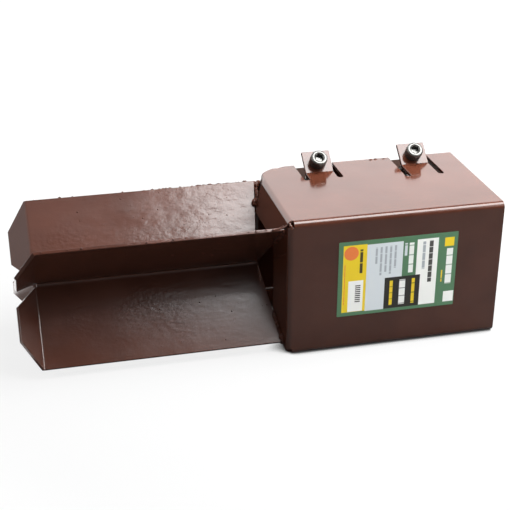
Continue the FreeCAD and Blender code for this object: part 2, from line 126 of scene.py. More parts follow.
# %% [markdown]
# ## Light
#
# Gloss paint shows the studio as much as its own colour.  A bright softbox
# hangs high on the right, a little in front: it gives the end of the rear leg
# its glare, and the ears theirs.  A lit wall behind is what the flat top face
# mirrors at a low angle.  Dimmer panels fill in from both sides and from the
# front, and a card on the floor behind the tail lights it from below.  A
# diffuser over the box is hidden from gloss, so it lights and does not glare.
# Each lamp is given by its brightness, where 1 is white paper, because that
# is what a mirror of it would show.  Spot lamps would be simpler, but gloss
# paint would show them as dots.


# %% Softboxes
def softbox(name, centre, target, wide, high, brightness):
    """A lamp at centre that faces target, with its width and height in metres."""
    lamp = bpy.data.lights.new(name, "AREA")
    lamp.shape = "RECTANGLE"
    lamp.size = wide
    lamp.size_y = high
    lamp.energy = brightness * math.pi * wide * high
    holder = bpy.data.objects.new(name, lamp)
    scene.collection.objects.link(holder)
    aim = Vector(target) - Vector(centre)
    facing = aim.to_track_quat("-Z", "Y").to_matrix().to_4x4()
    holder.matrix_world = Matrix.Translation(centre) @ facing
    print(name, "energy", round(lamp.energy, 1), "W")
    return holder


softbox("softbox_above", (0.365, -0.13, 0.68), (0.365, -0.13, 0.0), 0.80, 0.40, 16.0)
softbox("wall_behind", (0.25, 1.55, 0.75), (0.0, 0.0, 0.1), 3.0, 1.1, 2.5)
softbox("fill_on_the_right", (1.00, -0.85, 0.80), (0.0, 0.0, 0.05), 0.9, 1.0, 3.2)
softbox("panel_above_left", (-0.38, 0.05, 0.90), (-0.38, 0.05, 0.0), 0.70, 0.88, 0.9)
softbox("panel_on_the_left", (-1.20, -0.10, 0.75), (-0.2, 0.0, 0.05), 1.2, 0.9, 1.5)
card = softbox("card_by_the_tail", (-0.43, 0.14, 0.001), (-0.43, 0.14, 1.0), 0.30, 0.40, 2.4)
card.visible_camera = False
softbox("reflector_in_front", (0.27, -0.52, 0.90), (0.20, -0.30, 0.0), 0.60, 0.24, 2.4)
soft = softbox("diffuser", (0.12, 0.06, 0.52), (0.08, 0.0, 0.0), 0.36, 0.36, 11.0)
soft.visible_glossy = False

# %% [markdown]
# ## Surroundings
#
# The world gives a low even light.  Camera rays are told apart from the
# others, so that the ground looks white while the object is lit no more
# for it.


# %% World
def seen_directly(tree, mirrored):
    """1 for camera rays, and a share for what gloss and glass show."""
    path = node(tree, "ShaderNodeLightPath")
    glossy = math_of(tree, "MULTIPLY", path.outputs["Is Glossy Ray"], mirrored)
    clear = math_of(tree, "ADD", glossy, path.outputs["Is Transmission Ray"])
    return math_of(tree, "ADD", path.outputs["Is Camera Ray"], clear, clamp=True)


WORLD_LEVEL, WORLD_SEEN = 0.08, 0.93
MIRRORED_SHARE = 0.13
world = bpy.data.worlds.new("studio")
scene.world = world
world.use_nodes = True
sky = world.node_tree
sky.nodes.clear()
level = math_of(sky, "MULTIPLY", seen_directly(sky, MIRRORED_SHARE), WORLD_SEEN)
level = math_of(sky, "ADD", level, WORLD_LEVEL)
background = node(sky, "ShaderNodeBackground", {"Color": (1.0, 1.0, 1.0, 1.0), "Strength": level})
node(sky, "ShaderNodeOutputWorld", {"Surface": background.outputs[0]})
print("world ready")

# %% [markdown]
# The floor is a sheet of white paper.  It takes the object's shadow as any
# matt floor does, and a glow that only the camera sees lifts it to white.
# Around the object the glow is dimmed a little: a painted soft shadow.  A
# glow alone would wash out the thin dark line where steel meets paper, so
# the glow fades wherever something stands within about a centimetre: a
# painted contact shadow.

# %% Floor
FLOOR_REACH = 4.0
FLOOR_DROP = 0.1 * MM
PAPER_GREY, PAPER_GREY_SEEN = 0.16, 0.06
CONTACT_REACH = 14.0 * MM
# the glow is dimmed within these distances of this place: a painted soft shadow round the object
SHADOW_PAINT_CENTRE = (-80.0 * MM, -40.0 * MM, 0.0)
SHADOW_PAINT_NEAR, SHADOW_PAINT_FAR = 0.20, 0.42
floor_mesh = bpy.data.meshes.new("floor")
corners = [(-1, -1), (1, -1), (1, 1), (-1, 1)]
spots_on_floor = [(FLOOR_REACH * x, FLOOR_REACH * y, -FLOOR_DROP) for x, y in corners]
floor_mesh.from_pydata(spots_on_floor, [], [(0, 1, 2, 3)])
floor = bpy.data.objects.new("floor", floor_mesh)
scene.collection.objects.link(floor)

paper, sheet = new_material("studio_floor")
seen = seen_directly(sheet, 0.0)
darker = math_of(sheet, "MULTIPLY", seen, PAPER_GREY - PAPER_GREY_SEEN)
grey = math_of(sheet, "SUBTRACT", PAPER_GREY, darker)
grey = node(sheet, "ShaderNodeCombineXYZ", {0: grey, 1: grey, 2: grey}).outputs[0]
matt = node(sheet, "ShaderNodeBsdfDiffuse", {"Color": grey})
spot = node(sheet, "ShaderNodeTexCoord").outputs["Object"]
sockets = {0: spot, 1: SHADOW_PAINT_CENTRE}
away = node(sheet, "ShaderNodeVectorMath", sockets, operation="DISTANCE").outputs["Value"]
sockets = {"Value": away, "From Min": SHADOW_PAINT_NEAR, "From Max": SHADOW_PAINT_FAR, "To Min": 0.83}
options = {"clamp": True, "interpolation_type": "SMOOTHSTEP"}
level = node(sheet, "ShaderNodeMapRange", sockets, **options).outputs[0]
# where something stands within CONTACT_REACH the glow fades: a painted contact shadow
sockets = {"Distance": CONTACT_REACH}
near = node(sheet, "ShaderNodeAmbientOcclusion", sockets, samples=16).outputs["AO"]
sockets = {"Value": near, "From Min": 0.25, "From Max": 0.62, "To Min": 0.05}
near = node(sheet, "ShaderNodeMapRange", sockets, clamp=True).outputs[0]
level = math_of(sheet, "MULTIPLY", level, near)
lift = node(sheet, "ShaderNodeEmission", {"Strength": math_of(sheet, "MULTIPLY", level, seen)})
both = node(sheet, "ShaderNodeAddShader", {0: matt.outputs[0], 1: lift.outputs[0]})
node(sheet, "ShaderNodeOutputMaterial", {"Surface": both.outputs[0]})
floor.data.materials.append(paper)
print("floor", 2 * FLOOR_REACH, "m square")

# %% [markdown]
# ## The paint
#
# The steel is dipped in a thick brown gloss paint.  Three things make it look
# like paint and not like coloured plastic: the colour drifts a little, the
# gloss is uneven, and the surface is never quite flat.  The waves come in
# sizes, so the bump is built from layers: slow sags, the orange peel of the
# coat, fine lines from the rolled sheet below, and dust nibs.  Near the welds
# the coat lies over scale and spatter, so it gets lumpier there.  Noise on
# Object coordinates does all of it: a painted image would need unwrapping,
# and would blur close up.


# %% Paint material
def noise(tree, place, scale, detail=2.0, stretch=(1.0, 1.0, 1.0)):
    spot = node(tree, "ShaderNodeMapping", {"Vector": place, "Scale": stretch}).outputs[0]
    sockets = {"Vector": spot, "Scale": scale, "Detail": detail, "Roughness": 0.55}
    return node(tree, "ShaderNodeTexNoise", sockets).outputs["Fac"]


def ramp(tree, value, low, high, to_low=0.0, to_high=1.0):
    sockets = {"Value": value, "From Min": low, "From Max": high}
    sockets.update({"To Min": to_low, "To Max": to_high})
    return node(tree, "ShaderNodeMapRange", sockets, clamp=True).outputs[0]


def mixed(tree, share, first, second):
    made = node(tree, "ShaderNodeMix", {0: share}, data_type="RGBA")
    for socket, value in ((6, first), (7, second)):
        if isinstance(value, bpy.types.NodeSocket):
            tree.links.new(value, made.inputs[socket])
        else:
            made.inputs[socket].default_value = (*value, 1.0)
    return made.outputs[2]


def bumped(tree, height, depth, under=None):
    sockets = {"Height": height, "Distance": depth}
    if under is not None:
        sockets["Normal"] = under
    return node(tree, "ShaderNodeBump", sockets).outputs[0]


PAINT_DARK, PAINT_LIGHT = (0.044, 0.0131, 0.0070), (0.058, 0.0178, 0.0100)
# painted shade for the lower ears, which lie in the shadow of the upper ones
LOWER_EAR_SHADE = (0.021, 0.0105, 0.0075)


def brown_paint(name, lumps, glossiest, dullest, index=1.45):
    """Gloss paint; `index` sets how strongly it mirrors."""
    material, tree = new_material(name)
    place = node(tree, "ShaderNodeTexCoord").outputs["Object"]
    parts = node(tree, "ShaderNodeSeparateXYZ", {0: place}).outputs
    along, back, height = parts["X"], parts["Y"], parts["Z"]

    drift = ramp(tree, noise(tree, place, 26.0, 4.0), 0.35, 0.65)
    colour = mixed(tree, drift, PAINT_DARK, PAINT_LIGHT)
    smear = ramp(tree, noise(tree, place, 60.0, 3.0, (0.4, 1.0, 1.0)), 0.4, 0.65)
    gloss = ramp(tree, smear, 0.0, 1.0, glossiest, dullest)

    sags = bumped(tree, noise(tree, place, 35.0, 1.0), 0.00018)
    rolled = bumped(tree, noise(tree, place, 420.0, 2.0, (0.12, 1.0, 1.0)), 0.000012, sags)
    peel = bumped(tree, noise(tree, place, 520.0, 1.5), 0.000022, rolled)
    sockets = {"Vector": place, "Scale": 130.0}
    specks = node(tree, "ShaderNodeTexVoronoi", sockets).outputs["Distance"]
    nibs = ramp(tree, specks, 0.02, 0.07, 1.0, 0.0)
    normal = bumped(tree, nibs, 0.00005, peel)
    if lumps:
        upper = ramp(tree, height, 0.045, 0.060, 0.30, 1.0)
        near_weld = ramp(tree, along, -0.250, -0.130, 0.15, 1.0)
        near_weld = math_of(tree, "MULTIPLY", near_weld, upper)
        coarse = noise(tree, place, 210.0, 3.0, (0.6, 1.0, 1.0))
        broad = noise(tree, place, 60.0, 2.0, (0.5, 1.0, 1.0))
        rough = math_of(tree, "ADD", math_of(tree, "MULTIPLY", broad, 2.6), coarse)
        swells = math_of(tree, "MULTIPLY", rough, near_weld)
        normal = bumped(tree, swells, 0.00025, normal)
        patch = ramp(tree, noise(tree, place, 16.0, 1.0), 0.45, 0.62)
        calm = ramp(tree, along, -0.175, -0.140, 1.0, 0.25)
        calm = math_of(tree, "MAXIMUM", calm, ramp(tree, height, 0.045, 0.060))
        patch = math_of(tree, "MULTIPLY", patch, calm)
        leather = noise(tree, place, 330.0, 2.0, (0.8, 1.0, 1.0))
        normal = bumped(tree, math_of(tree, "MULTIPLY", leather, patch), 0.00022, normal)

    # painted shade: behind the ears, the lower ears lie in the upper ones' shadow, so they get a
    # darker colour and an index that mirrors almost nothing
    behind = ramp(tree, back, 0.0535, 0.0545)
    beside = ramp(tree, along, -0.070, -0.065)
    shaded_lower_ears = math_of(tree, "MULTIPLY", behind, beside)
    bend = ramp(tree, shaded_lower_ears, 0.0, 1.0, index, 1.08)
    colour = mixed(tree, shaded_lower_ears, colour, LOWER_EAR_SHADE)
    sockets = {"Base Color": colour, "Roughness": gloss, "Normal": normal, "IOR": bend}
    skin = node(tree, "ShaderNodeBsdfPrincipled", sockets)
    node(tree, "ShaderNodeOutputMaterial", {"Surface": skin.outputs[0]})
    return material


sheet_paint = brown_paint("brown_dip_paint", False, 0.10, 0.16)
lumpy_paint = brown_paint("brown_dip_paint_over_scale", True, 0.19, 0.27)
weld_paint = brown_paint("brown_dip_paint_on_welds", False, 0.12, 0.20, 1.30)
print("paint:", sheet_paint.name, lumpy_paint.name, weld_paint.name)

# %% [markdown]
# ## Folded sheet with softened edges
#
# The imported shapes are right, but their meshes are loose triangles with
# knife-sharp rims.  Thick paint rounds every cut edge.  A merged copy of each
# node is cleaned to flat faces, and a narrow bevel rounds its rims.  The
# bevel is limited by angle, so that the folds, which are round already, stay
# as they are.  Where two rims nearly meet, a bevel can throw a point far
# outside the steel.  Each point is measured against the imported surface, and
# a stray one is put back on it.


# %% Painted copies
RIM_ROUNDING = 0.35 * MM
STRAY_AT = 0.25 * MM


def link(mesh, name):
    piece = bpy.data.objects.new(name, mesh)
    scene.collection.objects.link(piece)
    return piece


def coat(piece, paint):
    """Give a piece one material and no other."""
    piece.data.materials.clear()
    piece.data.materials.append(paint)


def settle(piece):
    """Turn the modifiers of a piece into plain mesh."""
    bpy.context.view_layer.update()
    seen = piece.evaluated_get(bpy.context.evaluated_depsgraph_get())
    mesh = bpy.data.meshes.new_from_object(seen)
    piece.modifiers.clear()
    piece.data = mesh
    mesh.name = piece.name
    return piece


def merged_copy(source, name):
    mesh = bpy.data.meshes.new(name)
    solid = bmesh.new()
    solid.from_mesh(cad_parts[source].data)
    bmesh.ops.remove_doubles(solid, verts=solid.verts, dist=0.002 * MM)
    flat = math.radians(0.3)
    bmesh.ops.dissolve_limit(solid, angle_limit=flat, verts=solid.verts, edges=solid.edges)
    solid.to_mesh(mesh)
    solid.free()
    for extra in ("custom_normal", "sharp_edge", "sharp_face"):
        if extra in mesh.attributes:
            mesh.attributes.remove(mesh.attributes[extra])
    return mesh


def put_strays_back(piece, source):
    """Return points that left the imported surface; count them."""
    surface = BVHTree.FromObject(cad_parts[source], bpy.context.evaluated_depsgraph_get())
    strays = 0
    for vertex in piece.data.vertices:
        place, _, _, away = surface.find_nearest(vertex.co)
        if away > STRAY_AT:
            vertex.co = place
            strays += 1
    print(piece.name, "strays put back:", strays)


def painted(source, name, paint):
    """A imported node's copy with soft rims, which takes the node's place."""
    piece = link(merged_copy(source, name), name)
    coat(piece, paint)
    rim = piece.modifiers.new("rim", "BEVEL")
    rim.width = RIM_ROUNDING
    rim.segments = 2
    rim.limit_method = "ANGLE"
    rim.angle_limit = math.radians(35)
    rim.use_clamp_overlap = False
    rim.harden_normals = False
    settle(piece)
    put_strays_back(piece, source)
    piece.data.shade_smooth()
    piece.data.set_sharp_from_angle(angle=math.radians(50))
    weighted = piece.modifiers.new("flat faces stay flat", "WEIGHTED_NORMAL")
    weighted.keep_sharp = True
    weighted.weight = 100
    settle(piece)
    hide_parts(source)
    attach(piece, "root")
    print(name, len(piece.data.polygons), "faces")
    return piece


box_shell = painted("socket_shell", "box_shell", sheet_paint)
tail_front = painted("tail_angle_front", "tail_front", lumpy_paint)
tail_rear = painted("tail_angle_rear", "tail_rear", lumpy_paint)

# %% [markdown]
# ## Geometry Nodes helpers
#
# What repeats or follows a path is grown by a node tree from a few named
# sizes.  The modifier's inputs go by each socket's identifier, so a helper
# looks those up.  The grown result is turned into a plain mesh, because the
# export drops instances.


# %% Tree helpers
def grower(name, sizes):
    """A tree with a geometry input and named sizes: (name, kind, value)."""
    tree = bpy.data.node_groups.new(name, "GeometryNodeTree")
    face = tree.interface
    face.new_socket("Geometry", in_out="INPUT", socket_type="NodeSocketGeometry")
    for label, kind, value in sizes:
        socket = face.new_socket(label, in_out="INPUT", socket_type="NodeSocket" + kind)
        socket.default_value = value
    face.new_socket("Geometry", in_out="OUTPUT", socket_type="NodeSocketGeometry")
    return tree, tree.nodes.new("NodeGroupInput").outputs


def finish_tree(tree, geometry, material):
    solid = node(tree, "GeometryNodeRealizeInstances", {0: geometry}).outputs[0]
    smooth = node(tree, "GeometryNodeSetShadeSmooth", {0: solid}).outputs[0]
    coated = node(tree, "GeometryNodeSetMaterial", {0: smooth, "Material": material}).outputs[0]
    node(tree, "NodeGroupOutput", {0: coated})


def grow(tree, source, name, **sizes):
    """Run a tree on a source object and keep the result as a plain mesh."""
    modifier = source.modifiers.new(name, "NODES")
    modifier.node_group = tree
    for item in tree.interface.items_tree:
        key = item.name.replace(" ", "_")
        if item.item_type == "SOCKET" and item.in_out == "INPUT" and key in sizes:
            modifier[item.identifier] = sizes[key]
    bpy.context.view_layer.update()
    seen = source.evaluated_get(bpy.context.evaluated_depsgraph_get())
    mesh = bpy.data.meshes.new_from_object(seen)
    mesh.name = name
    source.modifiers.remove(modifier)
    print(name, len(mesh.polygons), "faces")
    return link(mesh, name)


print("helpers:", grower.__name__, finish_tree.__name__, grow.__name__)

# %% [markdown]
# ## Welds
#
# Each leg of the cross is welded to the end flaps on both its faces, from the
# leg's edge in to where the flap stops.  A weld is a row of overlapping
# puddles, so the bead is a tube whose width ripples along its path and
# wanders a little.  The path lies in the corner between leg and flap.  A
# sculpted bead would look as good, but would not follow a changed size.

# %% Where the welds run
shell_low, shell_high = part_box("socket_shell")
tail_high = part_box("tail_angle_front")[1]
BOX_HALF = -shell_low.y
AXIS_HEIGHT = BOX_HALF
FLAP_SLOPE = math.tan(math.radians(11.0))
FLAP_DEPTH = 25.0 * MM
LEG_HALF_GAUGE = 1.25 * MM
leg_edge = (tail_high.z - AXIS_HEIGHT) * math.sqrt(2)
flap_edge = (BOX_HALF - FLAP_DEPTH) * math.sqrt(2)
CLOSED_END = -81.0 * MM


def flap_face(y, z):
    """X of the end flaps' outer face."""
    out = max(abs(y), abs(z - AXIS_HEIGHT))
    return CLOSED_END - FLAP_SLOPE * (BOX_HALF - out)


def weld_path(leg, side, first, last, lift):
    """Points in the corner between one face of a leg and the flap."""
    along = Vector((0.0, leg[0], leg[1])) / math.sqrt(2)
    across = Vector((0.0, -leg[1], leg[0])) * side / math.sqrt(2)
    points = []
    for step in range(9):
        far = first + (last - first) * step / 8
        spot = along * far + across * (LEG_HALF_GAUGE + lift)
        spot.z += AXIS_HEIGHT
        spot.x = flap_face(spot.y, spot.z) - lift
        points.append(spot)
    return points


print("legs reach", round(leg_edge / MM, 1), "mm")
print("flaps start at", round(flap_edge / MM, 1), "mm")

# %% [markdown]
# The bead tree resamples a path to short, even steps, pushes each step a
# little aside, and sweeps a circle along it.  The circle's size follows a
# saw-tooth along the length, softened by a square root: that is the row of
# puddles.  The ends taper.  A last push along the normals makes it lumpy.


# %% The bead tree
def vector_of(tree, operation, sockets):
    return node(tree, "ShaderNodeVectorMath", sockets, operation=operation).outputs[0]


def cloud(tree, place, scale, detail, output="Fac"):
    sockets = {"Vector": place, "Scale": scale, "Detail": detail}
    return node(tree, "ShaderNodeTexNoise", sockets).outputs[output]


def bead_tree(material):
    tree, sizes = grower("weld bead", [
        ("Bead radius", "Float", 1.6 * MM), ("Ripple pitch", "Float", 1.7 * MM),
        ("Ripple depth", "Float", 0.12), ("Wander", "Float", 2.6 * MM),
        ("Lumps", "Float", 1.1 * MM),
    ])
    step = math_of(tree, "DIVIDE", sizes["Ripple pitch"], 6.0)
    sockets = {"Curve": sizes["Geometry"], "Length": step}
    path = node(tree, "GeometryNodeResampleCurve", sockets, mode="LENGTH")
    here = node(tree, "GeometryNodeInputPosition").outputs[0]
    drift = cloud(tree, here, 240.0, 2.0, "Color")
    centred = vector_of(tree, "SUBTRACT", {0: drift, 1: (0.5, 0.5, 0.5)})
    push = vector_of(tree, "SCALE", {0: centred, "Scale": sizes["Wander"]})
    moved = node(tree, "GeometryNodeSetPosition", {0: path.outputs[0], "Offset": push})

    place = node(tree, "GeometryNodeSplineParameter")
    ripples = math_of(tree, "DIVIDE", place.outputs["Length"], sizes["Ripple pitch"])
    puddle = math_of(tree, "SQRT", math_of(tree, "FRACT", ripples))
    wave = math_of(tree, "MULTIPLY", puddle, sizes["Ripple depth"])
    swell = math_of(tree, "MULTIPLY", cloud(tree, here, 300.0, 1.0), 1.7)
    wide = math_of(tree, "ADD", wave, swell)
    start = math_of(tree, "MULTIPLY", place.outputs["Factor"], 9.0, clamp=True)
    left = math_of(tree, "SUBTRACT", 1.0, place.outputs["Factor"])
    end = math_of(tree, "MULTIPLY", left, 9.0, clamp=True)
    taper = math_of(tree, "SQRT", math_of(tree, "MULTIPLY", start, end))
    tapered = math_of(tree, "ADD", math_of(tree, "MULTIPLY", taper, 0.8), 0.2)
    width = math_of(tree, "MULTIPLY", wide, tapered)
    width = math_of(tree, "MULTIPLY", width, sizes["Bead radius"])
    sockets = {"Resolution": 16, "Radius": 1.0}
    ring = node(tree, "GeometryNodeCurvePrimitiveCircle", sockets).outputs[0]
    sockets = {"Curve": moved.outputs[0], "Profile Curve": ring, "Scale": width, "Fill Caps": True}
    tube = node(tree, "GeometryNodeCurveToMesh", sockets).outputs[0]

    rough = math_of(tree, "SUBTRACT", cloud(tree, here, 620.0, 2.0), 0.5)
    amount = math_of(tree, "MULTIPLY", rough, sizes["Lumps"])
    outward = node(tree, "GeometryNodeInputNormal").outputs[0]
    bulge = vector_of(tree, "SCALE", {0: outward, "Scale": amount})
    lumpy = node(tree, "GeometryNodeSetPosition", {0: tube, "Offset": bulge}).outputs[0]
    finish_tree(tree, lumpy, material)
    return tree


beads = bead_tree(weld_paint)
print("bead tree:", len(beads.nodes), "nodes")

# %% [markdown]
# Each path starts under the box's flap edge and ends just short of the leg's
# own edge.  All the seams go into one curve object, so the tree runs once.
# One seam is different: at the rear upper leg the flap stops short, and the
# welder filled the gap past it, so that path is given place by place.


# %% Lay the beads
def path_object(paths, name):
    curve = bpy.data.curves.new(name, "CURVE")
    curve.dimensions = "3D"
    for points in paths:
        spline = curve.splines.new("POLY")
        spline.points.add(len(points) - 1)
        for slot, point in zip(spline.points, points):
            slot.co = (*point, 1.0)
    holder = bpy.data.objects.new(name, curve)
    scene.collection.objects.link(holder)
    return holder


LEGS = {
    "rear upper": (1, 1), "front upper": (-1, 1),
    "front lower": (-1, -1), "rear lower": (1, -1),
}
BEAD_LIFT = 0.4 * MM
first = flap_edge + 1.0 * MM
last = leg_edge - 0.6 * MM
runs = [
    weld_path(leg, side, first, last, BEAD_LIFT)
    for leg in LEGS.values() for side in (-1, 1)
]
gap_run = [
    (-84.6, 29.6, 84.6), (-83.6, 32.6, 87.6), (-82.2, 36.5, 90.6),
    (-81.9, 40.0, 93.2), (-81.4, 43.2, 95.8), (-80.6, 45.6, 97.4),
]
runs[1] = [Vector(place) * MM for place in gap_run]
source = path_object(runs, "weld_paths")
weld_beads = grow(beads, source, "weld_beads")
bpy.data.objects.remove(source)
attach(weld_beads, "root")

# %% [markdown]
# At the outer end the welder runs off the leg's edge and round on to the
# corner of the box, so both upper legs get a short bead that closes that
# corner.  The rear one is fat and runs down the corner, and further in along
# its seam a lump marks where the torch stopped.  The front one is thin and
# curls up at the corner, where a tack half closes the round relief hole.
# These are one-off marks of a hand, so their paths are plain lists of places,
# and the bead tree does the rest.

# %% Corner beads
def spots(*places):
    """Places in mm, with heights measured from the axis of the tail."""
    return [Vector((x * MM, y * MM, AXIS_HEIGHT + z * MM)) for x, y, z in places]


def laid(tree, paths, name, **sizes):
    """Grow a tree along paths and leave it as a painted piece."""
    source = path_object(paths, name + "_path")
    piece = grow(tree, source, name, **sizes)
    bpy.data.objects.remove(source)
    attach(piece, "root")
    return piece


rear = spots((-81.6, 46.4, 43.2), (-80.0, 48.0, 43.4), (-78.0, 49.8, 42.8), (-77.6, 50.4, 41.0),
             (-78.6, 50.0, 37.5), (-79.0, 50.0, 33), (-79.2, 50.0, 28))
front = spots((-92, -46.5, 46.2), (-88, -46.7, 46.5), (-84.4, -47.4, 47.2),
              (-82.2, -48.2, 48.6), (-81.0, -48.6, 50.4))
laid(beads, [rear], "rear_corner_bead", Bead_radius=1.9 * MM, Wander=1.0 * MM, Lumps=0.8 * MM)
lump = spots((-84.6, 33.2, 37.4), (-85.8, 31.6, 35.6), (-86.4, 30.2, 34.0),
             (-86.2, 29.2, 32.6))
laid(beads, [lump], "rear_lump", Bead_radius=1.7 * MM, Wander=0.8 * MM, Lumps=1.2 * MM)
front_bead = laid(beads, [front], "front_corner_bead", Bead_radius=0.72 * MM,
                  Wander=0.25 * MM, Lumps=0.12 * MM, Ripple_depth=0.04)
tack = spots((-80.2, -48.0, 51.6), (-79.8, -49.2, 50.9), (-79.5, -50.4, 49.8),
             (-78.8, -51.2, 48.6), (-77.4, -51.7, 48.0), (-75.8, -51.8, 48.0))
front_tack = laid(beads, [tack], "front_tack", Bead_radius=1.3 * MM,
                  Wander=0.4 * MM, Lumps=0.3 * MM, Ripple_depth=0.05)
for piece in (front_bead, front_tack):
    coat(piece, sheet_paint)

# %% [markdown]
# The slot behind the top flap was closed with weld and dressed smooth, so the
# fold seems to run on round the corner.  A tube that thins along its path
# makes it, like a fillet pressed into the slot with a thumb.

# %% Corner fillet
def thinning_tube(stations, name):
    """A smooth tube through (x, y, z, radius) given in mm."""
    curve = bpy.data.curves.new(name, "CURVE")
    curve.dimensions = "3D"
    curve.bevel_depth = 1.0 * MM
    curve.bevel_resolution = 10
    curve.use_fill_caps = True
    spline = curve.splines.new("NURBS")
    spline.points.add(len(stations) - 1)
    spline.order_u = 4
    spline.use_endpoint_u = True
    spline.resolution_u = 8
    for point, (x, y, z, radius) in zip(spline.points, stations):
        point.co = (x * MM, y * MM, z * MM, 1.0)
        point.radius = radius
    piece = link(curve, name)
    bpy.context.view_layer.update()
    seen = piece.evaluated_get(bpy.context.evaluated_depsgraph_get())
    mesh = bpy.data.meshes.new_from_object(seen)
    mesh.name = name
    bpy.data.objects.remove(piece)
    return link(mesh, name)


FILLET = [
    (-77.1, 26.5, 101.6, 4.35), (-76.9, 30, 101.9, 4.1), (-76.6, 34, 102.7, 3.3),
    (-76.4, 38, 103.65, 2.35), (-76.1, 41.5, 104.25, 1.75), (-74.4, 44.6, 104.5, 1.5),
    (-72.0, 46.6, 104.5, 1.3),
]
fillet = thinning_tube(FILLET, "corner_fillet")
coat(fillet, sheet_paint)
fillet.data.shade_smooth()
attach(fillet, "root")
print("corner_fillet", len(fillet.data.polygons), "faces")

# %% [markdown]
# ## Drops along an edge
#
# Thick paint and weld spatter leave beads along the edges: a row of small
# lumps of uneven size and spacing.  The tree puts points along a path, pushes
# each a little aside, and sets a drop there.  There are hundreds of drops,
# so each is a ball of only a few dozen faces, shaded smooth.  Cubing a random
# number makes small drops common and large ones rare.


# %% The edge tree
DROP = {"Segments": 8, "Rings": 6, "Radius": 1.0}


def drops_tree(material):
    tree, sizes = grower("drops along a path", [
        ("Pitch", "Float", 1.6 * MM), ("Scatter", "Float", 1.2 * MM),
        ("Smallest", "Float", 0.2 * MM), ("Largest", "Float", 0.8 * MM),
        ("Stretch", "Float", 1.0), ("Seed", "Int", 3),
    ])
    sockets = {0: sizes["Geometry"], "Length": sizes["Pitch"]}
    points = node(tree, "GeometryNodeCurveToPoints", sockets, mode="LENGTH")
    sockets = {"Min": (-1.0, -1.0, -1.0), "Max": (1.0, 1.0, 1.0), "Seed": sizes["Seed"]}
    aside = node(tree, "FunctionNodeRandomValue", sockets, data_type="FLOAT_VECTOR").outputs[0]
    push = vector_of(tree, "SCALE", {0: aside, "Scale": sizes["Scatter"]})
    moved = node(tree, "GeometryNodeSetPosition", {0: points.outputs[0], "Offset": push}).outputs[0]
    another = math_of(tree, "ADD", sizes["Seed"], 1.0)
    sockets = {"Min": 0.0, "Max": 1.0, "Seed": another}
    chance = node(tree, "FunctionNodeRandomValue", sockets, data_type="FLOAT").outputs[1]
    rare = math_of(tree, "POWER", chance, 3.0)
    sockets = {"Value": rare, "To Min": sizes["Smallest"], "To Max": sizes["Largest"]}
    radius = node(tree, "ShaderNodeMapRange", sockets).outputs[0]
    long = math_of(tree, "MULTIPLY", radius, sizes["Stretch"])
    scale = node(tree, "ShaderNodeCombineXYZ", {0: long, 1: radius, 2: radius}).outputs[0]
    drop = node(tree, "GeometryNodeMeshUVSphere", DROP).outputs[0]
    sockets = {"Points": moved, "Instance": drop, "Scale": scale}
    placed = node(tree, "GeometryNodeInstanceOnPoints", sockets).outputs[0]
    finish_tree(tree, placed, material)
    return tree


drops = drops_tree(weld_paint)
laid(drops, runs, "weld_drops", Pitch=0.8 * MM, Scatter=1.5 * MM, Smallest=0.25 * MM,
     Largest=1.2 * MM, Seed=11)

# %% [markdown]
# Paint runs to the upper edges of the legs and dries there in beads, close
# together near the box and sparse further out.  Two passes of the same tree
# with other sizes make both.


# %% Beads on the edges of the legs
def leg_edge_path(across, up, start, end):
    out = leg_edge / math.sqrt(2) - 0.6 * MM
    return [Vector((x * MM, across * out, AXIS_HEIGHT + up * out)) for x in (start, end)]


paths = [
    leg_edge_path(1, 1, -172, -88), leg_edge_path(-1, 1, -110, -90),
    leg_edge_path(1, -1, -150, -90),
]
laid(drops, paths, "edge_beads", Pitch=1.3 * MM, Scatter=0.3 * MM, Smallest=0.1 * MM,
     Largest=0.72 * MM, Stretch=1.8, Seed=5)
paths = [leg_edge_path(1, 1, -250, -90), leg_edge_path(-1, 1, -252, -90)]
laid(drops, paths, "edge_nibs", Pitch=9.0 * MM, Scatter=0.2 * MM, Smallest=0.1 * MM,
     Largest=0.7 * MM, Stretch=1.6, Seed=8)

# %% [markdown]
# The slots were cut and the ears forced out before painting, and both left
# small burrs on the back fold of the top.  A few drops in a line do for them.

# %% Burrs on the back fold
FOLD_BACK, FOLD_BELOW_TOP = 50.8 * MM, 12.6 * MM
fold_height = shell_high.z - FOLD_BELOW_TOP
folds = [
    [Vector((x * MM, FOLD_BACK, fold_height)) for x in ends]
    for ends in ((11, 18), (23, 27))
]
laid(drops, folds, "fold_burrs", Pitch=0.8 * MM, Scatter=0.5 * MM, Smallest=0.5 * MM,
     Largest=1.0 * MM, Stretch=1.4, Seed=2)

# %% [markdown]
# ## Spatter
#
# Welding throws small drops that freeze on the steel around it, and the paint
# covers them.  Points are scattered on the tail's own faces, thicker near the
# box, and each gets a flattened drop.  The seed is fixed, so the drops fall
# in the same places every time.


